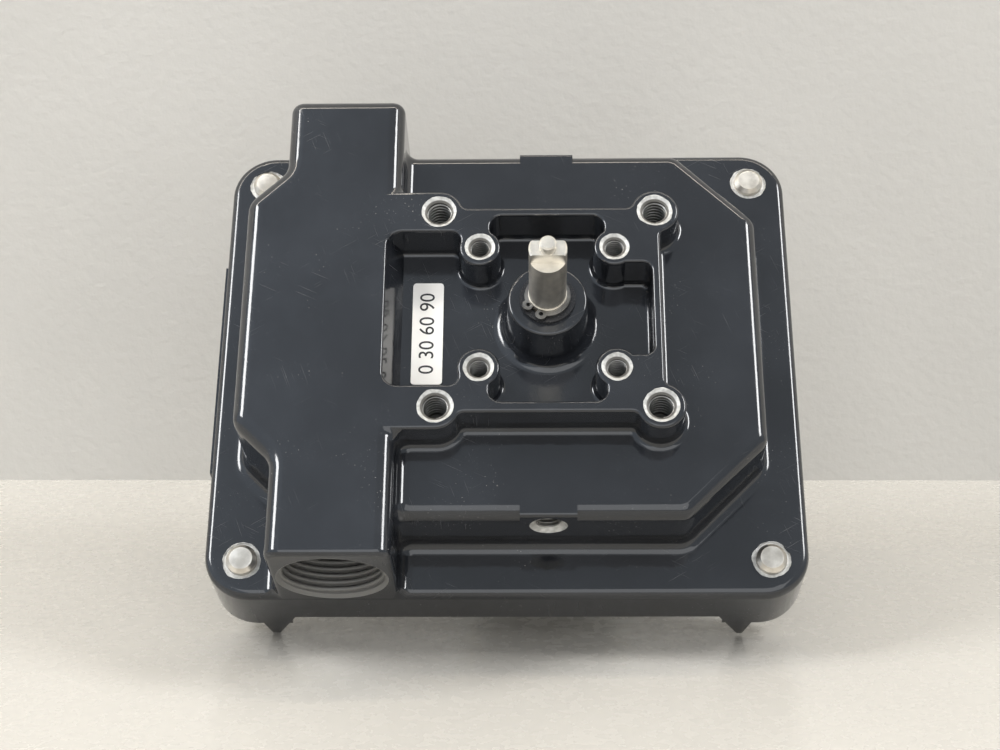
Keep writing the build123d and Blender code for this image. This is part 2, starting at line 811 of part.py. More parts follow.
# Thrust washer on the boss and the retaining ring in the shaft's groove above it
with BuildPart() as thrust_washer:
    with BuildSketch(Plane.XY.offset(boss_height)):
        Circle(washer_radius)
        Circle(journal_radius + axial_play, mode=Mode.SUBTRACT)
    extrude(amount=washer_thickness)
thrust_washer.part.label = "thrust_washer"
export_step(thrust_washer.part, "parts/thrust_washer.step")

with BuildPart() as retaining_ring:
    with BuildSketch(Plane.XY.offset(ring_z)) as ring_outline:
        Circle(ring_radius)
        lug_angles = (ring_gap_angle - ring_lug_spread, ring_gap_angle + ring_lug_spread)
        for angle in lug_angles:
            with PolarLocations(ring_lug_reach, 1, start_angle=angle):
                Circle(ring_lug_radius)
        Circle(ring_groove_radius, mode=Mode.SUBTRACT)
        for angle in lug_angles:
            with PolarLocations(ring_lug_reach, 1, start_angle=angle):
                Circle(ring_lug_hole, mode=Mode.SUBTRACT)
        with PolarLocations(ring_radius, 1, start_angle=ring_gap_angle):
            Rectangle(2 * ring_groove_radius, ring_gap_width, mode=Mode.SUBTRACT)
    extrude(amount=ring_thickness)
retaining_ring.part.label = "retaining_ring"
export_step(retaining_ring.part, "parts/retaining_ring.step")

# Clear dome over the drum, its gasket and its screws
with BuildPart() as beacon_dome:
    with BuildSketch(Plane.XY.offset(dome_base_z)):
        Circle(dome_flange_radius)
    extrude(amount=-dome_flange_thickness)
    with BuildSketch(Plane.XY.offset(dome_base_z)):
        Circle(dome_radius)
    extrude(amount=dome_top_z - dome_base_z)
    fillet(beacon_dome.edges().group_by(Axis.Z)[0], dome_edge_radius)
    with BuildSketch(Plane.XY.offset(dome_base_z)):
        Circle(dome_radius - dome_wall)
    extrude(amount=dome_top_z + dome_wall - dome_base_z, mode=Mode.SUBTRACT)
    with BuildSketch(Plane.XY.offset(dome_base_z)):
        with PolarLocations(dome_screw_circle, 4, start_angle=45):
            Circle(dome_screw_radius + cover_bolt_clearance)
    extrude(amount=-dome_flange_thickness, mode=Mode.SUBTRACT)
beacon_dome.part.label = "beacon_dome"
export_step(beacon_dome.part, "parts/beacon_dome.step")

with BuildPart() as dome_gasket:
    with BuildSketch(Plane.XY.offset(dome_base_z)):
        Circle(dome_flange_radius)
        Circle(dome_radius - dome_wall, mode=Mode.SUBTRACT)
        with PolarLocations(dome_screw_circle, 4, start_angle=45):
            Circle(dome_screw_radius + cover_bolt_clearance, mode=Mode.SUBTRACT)
    extrude(amount=dome_gasket_thickness)
dome_gasket.part.label = "dome_gasket"
export_step(dome_gasket.part, "parts/dome_gasket.step")


def pan_screws(name, seat_z, places, grip, shank_radius, head_radius, head_height, up=True):
    """Screws standing on the level seat_z, with the head on one side and the shank on the other."""
    sense = 1 if up else -1
    with BuildPart() as screws:
        with BuildSketch(Plane.XY.offset(seat_z)):
            with Locations(*places):
                Circle(shank_radius)
        extrude(amount=sense * grip)
        with BuildSketch(Plane.XY.offset(seat_z)):
            with Locations(*places):
                Circle(head_radius)
        extrude(amount=-sense * head_height)
        rim = screws.edges().group_by(Axis.Z)[0 if up else -1]
        fillet(rim, head_height / 3)
    screws.part.label = name
    export_step(screws.part, "parts/" + name + ".step")


screw_square = dome_screw_circle / math.sqrt(2)
pan_screws(
    "dome_screws",
    dome_base_z - dome_flange_thickness,
    [(x, y) for x in (-screw_square, screw_square) for y in (-screw_square, screw_square)],
    dome_flange_thickness + dome_gasket_thickness + dome_screw_reach,
    dome_screw_radius,
    dome_screw_head_radius,
    dome_screw_head_height,
)

# Indicator drum, a cup on the shaft's seat, with two coloured panels on its wall
with BuildPart() as indicator_drum:
    with BuildSketch(Plane.XY.offset(drum_front_z)):
        Circle(drum_radius)
    extrude(amount=drum_start_z - drum_front_z)
    fillet(indicator_drum.edges().group_by(Axis.Z)[0], drum_wall / 2)
    with BuildSketch(Plane.XY.offset(drum_front_z + drum_plate)):
        Circle(drum_radius - drum_wall)
        Circle(drum_hub_radius, mode=Mode.SUBTRACT)
    extrude(amount=drum_start_z - drum_front_z - drum_plate, mode=Mode.SUBTRACT)
    with BuildSketch(Plane.XY.offset(shaft_end_z)):
        Circle(drum_seat_radius)
    extrude(amount=drum_start_z - shaft_end_z, mode=Mode.SUBTRACT)
    with BuildSketch(Plane.XY.offset(drum_front_z)):
        Circle(small_screw_radius + thread_clearance)
    extrude(amount=shaft_end_z - drum_front_z, mode=Mode.SUBTRACT)
indicator_drum.part.label = "indicator_drum"
export_step(indicator_drum.part, "parts/indicator_drum.step")

with BuildPart() as indicator_panels:
    half_span = math.radians(panel_span / 2)
    far = 2 * drum_radius
    with BuildSketch(Plane.XY.offset(drum_front_z + panel_margin)):
        Circle(drum_radius + panel_thickness)
        Circle(drum_radius, mode=Mode.SUBTRACT)
        with BuildLine():
            Polyline(
                (0, 0),
                (far * math.cos(half_span), far * math.sin(half_span)),
                (0, far),
                (-far * math.cos(half_span), far * math.sin(half_span)),
                close=True,
            )
        make_face(mode=Mode.SUBTRACT)
        with BuildLine():
            Polyline(
                (0, 0),
                (-far * math.cos(half_span), -far * math.sin(half_span)),
                (0, -far),
                (far * math.cos(half_span), -far * math.sin(half_span)),
                close=True,
            )
        make_face(mode=Mode.SUBTRACT)
    extrude(amount=drum_start_z - drum_front_z - 2 * panel_margin)
indicator_panels.part.label = "indicator_panels"
export_step(indicator_panels.part, "parts/indicator_panels.step")

pan_screws(
    "drum_screw",
    drum_front_z,
    [(0, 0)],
    shaft_end_z - drum_front_z + drum_screw_reach,
    small_screw_radius,
    drum_screw_head_radius,
    drum_screw_head_height,
)

# Cam hub below the shaft's collar
with BuildPart() as cam_hub:
    with BuildSketch(Plane.XY.offset(hub_bottom_z)):
        Circle(hub_radius)
    extrude(amount=hub_top_z - hub_bottom_z)
    with BuildSketch(Plane.XY.offset(hub_bottom_z)):
        Circle(hub_rim_radius)
    extrude(amount=hub_rim_thickness)
    with BuildSketch(Plane.XY.offset(hub_bottom_z)):
        Circle(journal_radius + hub_clearance)
    extrude(amount=hub_top_z - hub_bottom_z, mode=Mode.SUBTRACT)
cam_hub.part.label = "cam_hub"
export_step(cam_hub.part, "parts/cam_hub.step")


def cam_point(degrees, falling):
    """A point on the cam's spiral; the falling cam is the rising one mirrored about the middle of its turn."""
    share = -degrees / cam_turn
    radius = cam_low_radius + share * (cam_high_radius - cam_low_radius)
    angle = math.radians(-cam_turn - degrees if falling else degrees)
    return (radius * math.cos(angle), radius * math.sin(angle))


def cam_arc(start_degrees, end_degrees, radius, falling):
    """An arc of the cam's outline about the shaft axis."""
    places = []
    for degrees in (start_degrees, (start_degrees + end_degrees) / 2, end_degrees):
        angle = math.radians(-cam_turn - degrees if falling else degrees)
        places.append((radius * math.cos(angle), radius * math.sin(angle)))
    ThreePointArc(*places)
    return places


cam_sweep = cam_turn + 2 * cam_start_angle
cam_angles = [cam_start_angle - cam_sweep * k / cam_steps for k in range(cam_steps + 1)]
for name, middle_z, falling in (("cam_open", switch_middle_z, False), ("cam_closed", lower_switch_z, True)):
    with BuildPart() as cam:
        with BuildSketch(Plane.XY.offset(middle_z - cam_thickness / 2)):
            with BuildLine():
                spiral = [cam_point(degrees, falling) for degrees in cam_angles]
                Spline(*spiral)
                low = math.dist((0, 0), spiral[0])
                high = math.dist((0, 0), spiral[-1])
                last = cam_angles[-1]
                lobe = cam_arc(last, last - cam_lobe_turn, high, falling)
                rest = cam_arc(last - cam_lobe_turn - cam_back_turn, cam_start_angle - 360, low, falling)
                Line(lobe[-1], rest[0])
            make_face()
            Circle(hub_radius, mode=Mode.SUBTRACT)
        extrude(amount=cam_thickness, dir=(0, 0, 1))
    cam.part.label = name
    export_step(cam.part, "parts/" + name + ".step")

# Spring that presses the two cams apart
spring_bottom_z = lower_switch_z + cam_thickness / 2
spring_top_z = switch_middle_z - cam_thickness / 2
with BuildPart() as cam_spring:
    spring_radius = hub_radius + spring_wire_radius + thread_clearance
    coil_height = spring_top_z - spring_bottom_z - 2 * spring_wire_radius
    with BuildLine() as coil:
        Helix(
            pitch=coil_height / spring_turns,
            height=coil_height,
            radius=spring_radius,
            center=(0, 0, spring_bottom_z + spring_wire_radius),
        )
    with BuildSketch(Plane(origin=coil.line @ 0, z_dir=coil.line % 0)):
        Circle(spring_wire_radius)
    sweep()
cam_spring.part.label = "cam_spring"
export_step(cam_spring.part, "parts/cam_spring.step")

# Two switches of the same pattern, one under the other
switch_end_y = switch_start_y + switch_length
switch_holes = [
    (switch_hole_x, (switch_start_y + switch_end_y) / 2 + side * switch_hole_pitch / 2) for side in (-1, 1)
]
for name, middle_z in (("switch_open", switch_middle_z), ("switch_closed", lower_switch_z)):
    with BuildPart() as switch:
        with BuildSketch(Plane.XY.offset(middle_z - switch_thickness / 2)):
            with Locations((switch_front_x, switch_start_y)):
                Rectangle(switch_width, switch_length, align=(Align.MIN, Align.MIN))
        extrude(amount=switch_thickness)
        with BuildSketch(Plane.XY.offset(middle_z - switch_thickness / 2)):
            with Locations((lever_pivot_x, lever_pivot_y)):
                Circle(lever_eye_radius)
                Rectangle(switch_front_x - lever_pivot_x, 2 * lever_eye_radius, align=(Align.MIN, Align.CENTER))
        extrude(amount=switch_thickness)
        with BuildSketch(Plane.XY.offset(middle_z - ear_gap / 2)):
            with Locations((lever_pivot_x - 2 * lever_eye_radius, lever_pivot_y)):
                Rectangle(
                    switch_front_x - lever_pivot_x + 2 * lever_eye_radius,
                    switch_length,
                    align=(Align.MIN, Align.CENTER),
                )
        extrude(amount=ear_gap, mode=Mode.SUBTRACT)
        with BuildSketch(Plane.XY.offset(middle_z - switch_thickness / 2)):
            with Locations((lever_pivot_x, lever_pivot_y)):
                Circle(lever_pin_radius)
            with Locations(*switch_holes):
                Circle(switch_hole_radius + thread_clearance)
        extrude(amount=switch_thickness, mode=Mode.SUBTRACT)
        with BuildSketch(Plane.YZ.offset(switch_front_x)):
            with Locations((plunger_y, middle_z)):
                Circle(plunger_radius)
        extrude(amount=-plunger_height)
    switch.part.label = name
    export_step(switch.part, "parts/" + name + ".step")

# Levers: an eye on its pin, a straight blade and a round tip; the closed one is held down at rest
for name, middle_z, pressed in (("lever_open", switch_middle_z, False), ("lever_closed", lower_switch_z, True)):
    with BuildPart() as lever:
        with BuildSketch(Plane.XY.offset(middle_z - lever_width / 2)) as lever_outline:
            lean = math.degrees(math.atan2(lever_pivot_x - lever_tip_x, -lever_pivot_y))
            if pressed:
                lean -= lever_press_angle
            reach = math.hypot(lever_pivot_x - lever_tip_x, lever_pivot_y)
            with Locations(Location((lever_pivot_x, lever_pivot_y, 0), (0, 0, lean))):
                Circle(lever_eye_radius)
                Rectangle(lever_thickness, reach, align=(Align.CENTER, Align.MIN))
                with Locations((0, reach)):
                    Circle(lever_tip_radius)
                    Circle(lever_tip_radius - lever_thickness, mode=Mode.SUBTRACT)
                Circle(lever_pin_radius + running_clearance, mode=Mode.SUBTRACT)
        extrude(amount=lever_width)
    lever.part.label = name
    export_step(lever.part, "parts/" + name + ".step")

with BuildPart() as lever_pins:
    for middle_z in (switch_middle_z, lower_switch_z):
        with BuildSketch(Plane.XY.offset(middle_z - switch_thickness / 2 + lever_pin_inset)):
            with Locations((lever_pivot_x, lever_pivot_y)):
                Circle(lever_pin_radius)
        extrude(amount=switch_thickness - 2 * lever_pin_inset)
lever_pins.part.label = "lever_pins"
export_step(lever_pins.part, "parts/lever_pins.step")

# Solder blades at the back of the switches
with BuildPart() as switch_blades:
    for middle_z in (switch_middle_z, lower_switch_z):
        with BuildSketch(Plane.YZ.offset(switch_front_x + switch_width)):
            for blade_shift in (-blade_pitch, 0, blade_pitch):
                with Locations(((switch_start_y + switch_end_y) / 2 + blade_shift, middle_z)):
                    Rectangle(blade_thickness, blade_width)
        extrude(amount=blade_length)
switch_blades.part.label = "switch_blades"
export_step(switch_blades.part, "parts/switch_blades.step")

# Bracket plate that carries the switches on two posts of the housing
with BuildPart() as switch_bracket:
    with BuildSketch(Plane.XY.offset(bracket_top_z)):
        with Locations(((bracket_left + bracket_right) / 2, 0)):
            RectangleRounded(bracket_right - bracket_left, 2 * bracket_half, bracket_corner_radius)
        with Locations(*bracket_screw_places):
            Circle(small_screw_radius + cover_bolt_clearance, mode=Mode.SUBTRACT)
        with Locations(*switch_holes):
            Circle(switch_hole_radius + thread_clearance, mode=Mode.SUBTRACT)
    extrude(amount=-bracket_thickness)
switch_bracket.part.label = "switch_bracket"
export_step(switch_bracket.part, "parts/switch_bracket.step")

pan_screws(
    "bracket_screws",
    bracket_top_z - bracket_thickness,
    bracket_screw_places,
    bracket_thickness + bracket_screw_reach,
    small_screw_radius,
    small_screw_head_radius,
    small_screw_head_height,
)
pan_screws(
    "switch_screws",
    lower_switch_z - switch_thickness / 2,
    switch_holes,
    2 * switch_thickness + bracket_thickness + switch_nut_height + screw_end_gap,
    switch_hole_radius,
    small_screw_head_radius,
    small_screw_head_height,
)
with BuildPart() as switch_nuts:
    with BuildSketch(Plane.XY.offset(bracket_top_z)):
        with Locations(*switch_holes):
            RegularPolygon(switch_nut_flats / 2, 6, major_radius=False)
            Circle(switch_hole_radius + thread_clearance, mode=Mode.SUBTRACT)
    extrude(amount=switch_nut_height)
switch_nuts.part.label = "switch_nuts"
export_step(switch_nuts.part, "parts/switch_nuts.step")

# Terminal strip with a rib between its terminals
strip_bottom_z = roof_z - strip_base
terminal_ys = [(k - (terminal_count - 1) / 2) * terminal_pitch for k in range(terminal_count)]
with BuildPart() as terminal_strip:
    with BuildSketch(Plane.XY.offset(roof_z)):
        with Locations((strip_x, 0)):
            RectangleRounded(strip_width, strip_length, strip_corner_radius)
    extrude(amount=-strip_base)
    with BuildSketch(Plane.XY.offset(roof_z)):
        for k in range(terminal_count + 1):
            with Locations((strip_x, (k - terminal_count / 2) * terminal_pitch)):
                Rectangle(strip_width, strip_rib)
    extrude(amount=-strip_height)
    with BuildSketch(Plane.XY.offset(strip_bottom_z)):
        with Locations(*strip_screw_places):
            Circle(small_screw_radius + thread_clearance)
    extrude(amount=strip_base, mode=Mode.SUBTRACT)
    with BuildSketch(Plane.XY.offset(strip_bottom_z)):
        with Locations(*[(strip_x, y) for y in terminal_ys]):
            Circle(small_screw_radius + thread_clearance)
    extrude(amount=strip_base - terminal_floor, mode=Mode.SUBTRACT)
terminal_strip.part.label = "terminal_strip"
export_step(terminal_strip.part, "parts/terminal_strip.step")

pan_screws(
    "terminal_screws",
    strip_bottom_z,
    [(strip_x, y) for y in terminal_ys],
    strip_base - terminal_floor - screw_end_gap,
    small_screw_radius,
    terminal_screw_head,
    small_screw_head_height,
)
pan_screws(
    "strip_screws",
    strip_bottom_z,
    strip_screw_places,
    strip_base + roof_screw_reach,
    small_screw_radius,
    terminal_screw_head,
    small_screw_head_height,
)
pan_screws(
    "earth_screw",
    roof_z,
    [(earth_screw_x, earth_screw_y)],
    roof_screw_reach,
    small_screw_radius,
    small_screw_head_radius,
    small_screw_head_height,
)

# Number label on the floor of the side pocket
with BuildPart() as number_label:
    with BuildSketch(Plane.XY.offset(floor_z)):
        with Locations((label_x, label_y)):
            RectangleRounded(label_width, label_length, label_corner_radius)
    extrude(amount=label_thickness)
number_label.part.label = "number_label"
export_step(number_label.part, "parts/number_label.step")
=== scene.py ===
# %% [markdown]
# # Dressing a valve position indicator
#
# The part is a cast box, lying on its face, with the drive shaft pointing up at the camera.
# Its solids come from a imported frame, in metres, and they are never moved here.
# This file gives them their finish and adds what is too fine for the solids: threads and numerals.
# Lengths are in metres, and a length that is easier to read in millimetres is multiplied by MM.

# %% Load the frame
import json
import math

import bpy
from mathutils import Matrix, Vector


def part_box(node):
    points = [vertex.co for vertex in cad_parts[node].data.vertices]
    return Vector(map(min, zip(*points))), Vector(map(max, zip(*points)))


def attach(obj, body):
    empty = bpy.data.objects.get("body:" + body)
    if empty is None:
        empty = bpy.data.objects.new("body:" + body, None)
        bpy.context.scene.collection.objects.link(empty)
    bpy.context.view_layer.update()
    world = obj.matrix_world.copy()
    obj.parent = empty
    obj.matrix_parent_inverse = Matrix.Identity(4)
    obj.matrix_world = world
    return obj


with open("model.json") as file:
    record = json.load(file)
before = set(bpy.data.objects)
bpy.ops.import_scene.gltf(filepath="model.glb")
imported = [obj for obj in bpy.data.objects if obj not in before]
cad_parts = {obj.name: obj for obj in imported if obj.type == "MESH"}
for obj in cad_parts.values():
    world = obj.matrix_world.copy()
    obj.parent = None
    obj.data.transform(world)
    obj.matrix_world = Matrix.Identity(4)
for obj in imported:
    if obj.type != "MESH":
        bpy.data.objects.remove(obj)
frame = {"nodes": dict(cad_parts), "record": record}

MM = 0.001
nodes = frame["nodes"]
mounts = {mount["name"]: mount for mount in frame["record"]["mounts"]}
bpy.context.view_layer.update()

# %% [markdown]
# ## The camera
#
# The photograph was taken from above the lower long edge, looking down on the mounting face.
# A camera is a point, a direction and a roll, so three vectors are enough to build its matrix.
# The third axis is the cross product of the other two, which keeps the matrix free of shear.

# %% Place the camera
camera_place = Vector((-3.0, -233.3, 427.3)) * MM
look = Vector((-0.0192, 0.4465, -0.8946)).normalized()
right = Vector((0.9998, 0.0053, -0.0189))
right = (right - look * right.dot(look)).normalized()
up = right.cross(look)

camera = bpy.data.objects.new("camera", bpy.data.cameras.new("camera"))
camera.data.sensor_width = 36.0
camera.data.lens = 67.7
camera.data.clip_start = 0.01
camera.data.clip_end = 20.0
camera.matrix_world = Matrix.Translation(camera_place) @ Matrix((right, up, -look)).transposed().to_4x4()
bpy.context.scene.collection.objects.link(camera)
bpy.context.scene.camera = camera
bpy.context.scene.view_settings.view_transform = "Standard"
print("lens", camera.data.lens, "distance in mm", round(camera_place.length / MM))

# %% [markdown]
# ## Small helpers for node trees
#
# Every finish below is a tree of shader nodes, and typing each node in full hides the idea.
# Here put sets or links one socket, node adds a node, and the rest wrap the nodes that come back most.
# A value may be a number, a colour or another node's output, and put tells them apart.

# %% Node helpers
# The Mix node has a pair of inputs for each kind of data, and these are its colour sockets.
MIX_FIRST, MIX_SECOND, MIX_RESULT = 6, 7, 2


def put(tree, socket, value):
    """Set a socket to a plain value, or link another node's output into it."""
    if isinstance(value, bpy.types.NodeSocket):
        tree.links.new(value, socket)
    else:
        socket.default_value = value


def node(tree, kind, inputs=None, **settings):
    """Add a node, set its own settings, then its inputs by name or number."""
    made = tree.nodes.new(kind)
    for key, value in settings.items():
        setattr(made, key, value)
    for key, value in (inputs or {}).items():
        put(tree, made.inputs[key], value)
    return made


def maths(tree, operation, *values, clamp=False):
    """A Math node's result, such as a sum, a product or a power."""
    made = node(tree, "ShaderNodeMath", operation=operation, use_clamp=clamp)
    for socket, value in zip(made.inputs, values):
        put(tree, socket, value)
    return made.outputs[0]


def folded(tree, operation, values):
    """One result for a whole list of values, such as the largest of them all."""
    result = values[0]
    for value in values[1:]:
        result = maths(tree, operation, result, value)
    return result


def ramp(tree, value, low, high, bottom=0.0, top=1.0):
    """Map a value from low..high to bottom..top with soft ends."""
    limits = {"From Min": low, "From Max": high, "To Min": bottom, "To Max": top}
    made = node(tree, "ShaderNodeMapRange", {"Value": value, **limits}, interpolation_type="SMOOTHSTEP")
    return made.outputs["Result"]


def blend_colour(tree, share, first, second):
    """Mix two colours; each may be a tuple or another node's output."""
    made = node(tree, "ShaderNodeMix", data_type="RGBA")
    put(tree, made.inputs["Factor"], share)
    put(tree, made.inputs[MIX_FIRST], first)
    put(tree, made.inputs[MIX_SECOND], second)
    return made.outputs[MIX_RESULT]


def noise(tree, place, scale, detail=2.0, roughness=0.5):
    """Smooth random values over the surface; scale counts the cells in a metre."""
    settings = {"Scale": scale, "Detail": detail, "Roughness": roughness}
    return node(tree, "ShaderNodeTexNoise", {"Vector": place, **settings}).outputs["Fac"]


def stretched(tree, place, scale, turn):
    """The same place, turned round Z and then squeezed along its axes, for grain that runs one way."""
    turned = node(tree, "ShaderNodeMapping", {"Vector": place, "Rotation": (0.0, 0.0, turn)})
    return node(tree, "ShaderNodeMapping", {"Vector": turned.outputs[0], "Scale": scale}).outputs[0]


def new_group(name, inputs, outputs):
    """An empty shader node group and its inner ends; an input of None is a vector, the rest are numbers."""
    group = bpy.data.node_groups.new(name, "ShaderNodeTree")
    for socket_name, value in inputs.items():
        kind = "NodeSocketVector" if value is None else "NodeSocketFloat"
        socket = group.interface.new_socket(name=socket_name, in_out="INPUT", socket_type=kind)
        if value is not None:
            socket.default_value = value
    for socket_name in outputs:
        group.interface.new_socket(name=socket_name, in_out="OUTPUT", socket_type="NodeSocketFloat")
    entry = group.nodes.new("NodeGroupInput").outputs
    leave = group.nodes.new("NodeGroupOutput").inputs
    return group, entry, leave


def use_group(tree, group, inputs):
    """Place a group in a tree with its own values, and give its outputs."""
    return node(tree, "ShaderNodeGroup", inputs, node_tree=group).outputs


def new_material(name):
    """A material with its tree, its Principled shader and the object's own coordinates."""
    material = bpy.data.materials.new(name)
    material.use_nodes = True
    tree = material.node_tree
    shader = tree.nodes["Principled BSDF"]
    place = node(tree, "ShaderNodeTexCoord").outputs["Object"]
    return material, tree, shader, place


def bumped(tree, shader, height, depth):
    """Tilt the shader's normal by a height map whose full range is depth metres."""
    made = node(tree, "ShaderNodeBump", {"Strength": 1.0, "Distance": depth, "Height": height})
    put(tree, shader.inputs["Normal"], made.outputs["Normal"])


print("helpers ready")

# %% [markdown]
# ## Table and wall
#
# The box rests on two pointed feet and on its dome, so the table is tilted in the part's own frame.
# Both stage planes are one-sided: seen from behind they turn transparent, so they never hide the part.
# A glossy black part shows its room more than itself, so the table glows in mirror images alone.
# That glow is full far in front of the part and weak beside it, where the part's own shadow would lie.

# %% Table and wall
table_up = Vector((0.008, 0.78, 0.62)).normalized()
table_away = (look - table_up * look.dot(table_up)).normalized()
table_side = table_away.cross(table_up)
cover_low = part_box("cover")[0]
feet_line = Vector((0.0, cover_low.y, cover_low.z))
wall_distance = 158 * MM
stage_half_width = 1.6
table_front = 0.9
wall_height = 1.3
mirror_colour = (1.0, 0.97, 0.90, 1)
near_mirror, far_mirror = 0.08, 1.0
near_depth = feet_line.y - 14 * MM
far_depth = feet_line.y - 62 * MM
patch_tone = 0.95
stage_roughness_range = 0.12


def stage_material(name, colour, grain_scale, grain_depth, roughness):
    """A pale surface with fine grain that vanishes when it is seen from behind."""
    material, tree, shader, place = new_material(name)
    grain = noise(tree, place, grain_scale, detail=4.0)
    patches = ramp(tree, noise(tree, place, scale=9.0), low=0.35, high=0.65)
    darker = tuple(patch_tone * c for c in colour)
    put(tree, shader.inputs["Base Color"], blend_colour(tree, patches, (*darker, 1), (*colour, 1)))
    rough = ramp(tree, grain, low=0.3, high=0.7, bottom=roughness, top=roughness + stage_roughness_range)
    put(tree, shader.inputs["Roughness"], rough)
    bumped(tree, shader, grain, grain_depth)
    mirrored = node(tree, "ShaderNodeLightPath").outputs["Is Glossy Ray"]
    glow = node(tree, "ShaderNodeEmission", {"Color": mirror_colour, "Strength": 1.0}).outputs[0]
    depth = node(tree, "ShaderNodeSeparateXYZ", {0: place}).outputs["Y"]
    open_table = ramp(tree, depth, far_depth, near_depth, bottom=far_mirror, top=near_mirror)
    share = maths(tree, "MULTIPLY", mirrored, open_table)
    lit = node(tree, "ShaderNodeMixShader", {0: share, 1: shader.outputs["BSDF"], 2: glow}).outputs[0]
    back = node(tree, "ShaderNodeNewGeometry").outputs["Backfacing"]
    clear = node(tree, "ShaderNodeBsdfTransparent").outputs["BSDF"]
    either = node(tree, "ShaderNodeMixShader", {0: back, 1: lit, 2: clear}).outputs[0]
    put(tree, tree.nodes["Material Output"].inputs["Surface"], either)
    return material


def stage_plane(name, corners, material):
    """A stage quad whose front faces the way its corners turn."""
    mesh = bpy.data.meshes.new(name)
    mesh.from_pydata([tuple(corner) for corner in corners], [], [(0, 1, 2, 3)])
    mesh.materials.append(material)
    made = bpy.data.objects.new(name, mesh)
    bpy.context.scene.collection.objects.link(made)
    print(name, "faces", [round(x, 2) for x in mesh.polygons[0].normal])


side = table_side * stage_half_width
front_edge = feet_line - table_away * table_front
back_edge = feet_line + table_away * wall_distance
wall_top = back_edge + table_up * wall_height
table_paint = stage_material("table_laminate", (0.50, 0.483, 0.443), 260.0, 0.03 * MM, roughness=0.2)
wall_paint = stage_material("wall_board", (0.51, 0.497, 0.467), 320.0, 0.25 * MM, roughness=0.7)
stage_plane(
    "table", (front_edge - side, front_edge + side, back_edge + side, back_edge - side), table_paint
)
stage_plane("wall", (back_edge - side, back_edge + side, wall_top + side, wall_top - side), wall_paint)

# %% [markdown]
# ## Sky and lamps
#
# The world lights everything evenly, and what is seen of it is a sky that brightens towards the left.
# Lamps at both sides draw the glints on the edges, and the front one reaches into the conduit mouth.
# The wide lamp overhead lifts the label and the shaft, and a narrow warm one behind lines the far edges.

# %% World
even_light = (0.70, 0.70, 0.705, 1)
room_sky = (0.54, 0.59, 0.64, 1)
bright_sky = (0.80, 0.90, 1.02, 1)
world = bpy.data.worlds.new("studio")
bpy.context.scene.world = world
world.use_nodes = True
tree = world.node_tree
background = tree.nodes["Background"]
rays = node(tree, "ShaderNodeLightPath").outputs
seen = folded(
    tree, "MAXIMUM", [rays["Is Camera Ray"], rays["Is Glossy Ray"], rays["Is Transmission Ray"]]
)
generated = node(tree, "ShaderNodeTexCoord").outputs["Generated"]
way = node(tree, "ShaderNodeSeparateXYZ", {0: generated}).outputs
left_side = ramp(tree, way["X"], low=-0.25, high=0.02, bottom=1.0, top=0.0)
sky = blend_colour(tree, left_side, room_sky, bright_sky)
put(tree, background.inputs["Color"], blend_colour(tree, seen, even_light, sky))
print("world nodes", len(tree.nodes))


# %% Lamps
def area_lamp(name, place, size, watts, colour=(1.0, 1.0, 1.0)):
    """A soft rectangular lamp that faces the origin."""
    lamp = bpy.data.objects.new(name, bpy.data.lights.new(name, "AREA"))
    lamp.data.shape = "RECTANGLE"
    lamp.data.size, lamp.data.size_y = size
    lamp.data.energy = watts
    lamp.data.color = colour
    lamp.location = place
    lamp.rotation_mode = "QUATERNION"
    lamp.rotation_quaternion = (-Vector(place)).to_track_quat("-Z", "Y")
    bpy.context.scene.collection.objects.link(lamp)


area_lamp("left_lamp", place=(-0.78, 0.40, 0.62), size=(0.5, 0.3), watts=8.0)
area_lamp("right_lamp", place=(0.84, 0.50, 0.62), size=(0.55, 0.28), watts=8.0)
area_lamp("front_lamp", place=(0.15, -0.9, 0.55), size=(0.6, 0.3), watts=4.0)
area_lamp("top_lamp", place=(0.1, -0.35, 1.1), size=(1.0, 0.9), watts=4.0)
area_lamp("back_lamp", place=(-0.1, 0.72, 0.50), size=(1.3, 0.05), watts=3.2, colour=(1.0, 0.90, 0.76))

# %% [markdown]
# ## Shared effects
#
# Three effects come back in several finishes, so each is a node group with named inputs.
# Peel is the slight waviness that paint keeps as it flows out and hardens.
# Wear gives dust, fine scratches and smudges as separate masks, because each dulls the gloss in its own way.
# Ring finds the rim of a hole that was cut after painting, from the distance to the hole's axis alone.

# %% Peel group
coarse_scale, coarse_height = 0.2, 2.0
peel_group, entry, leave = new_group("paint_peel", {"Vector": None, "Scale": 500.0}, ["Height"])
fine = noise(peel_group, entry["Vector"], entry["Scale"], detail=1.0)
wide_cells = maths(peel_group, "MULTIPLY", entry["Scale"], coarse_scale)
coarse = noise(peel_group, entry["Vector"], wide_cells, detail=1.0)
height = maths(peel_group, "ADD", fine, maths(peel_group, "MULTIPLY", coarse, coarse_height))
put(peel_group, leave["Height"], height)
print("peel nodes", len(peel_group.nodes))

# %% Wear group
scratch_turns = (0.45, 1.2, 2.6)
scratch_cells = (95.0, 4200.0, 95.0)
wear_group, entry, leave = new_group(
    "handling_wear", {"Vector": None, "Dust": 1.0, "Scratches": 1.0}, ["Dust", "Scratch", "Smudge"]
)
place = entry["Vector"]
specks = ramp(wear_group, noise(wear_group, place, scale=1900.0, detail=1.0), low=0.715, high=0.77)
crowd = ramp(wear_group, noise(wear_group, place, scale=60.0, detail=3.0), low=0.5, high=0.66)
dust = maths(wear_group, "MULTIPLY", specks, crowd)
put(wear_group, leave["Dust"], maths(wear_group, "MULTIPLY", dust, entry["Dust"], clamp=True))
lines = []
for turn in scratch_turns:
    grain = stretched(wear_group, place, scratch_cells, turn)
    lines.append(ramp(wear_group, noise(wear_group, grain, scale=1.0, detail=0.0), low=0.79, high=0.815))
patchy = ramp(wear_group, noise(wear_group, place, scale=35.0), low=0.45, high=0.65)
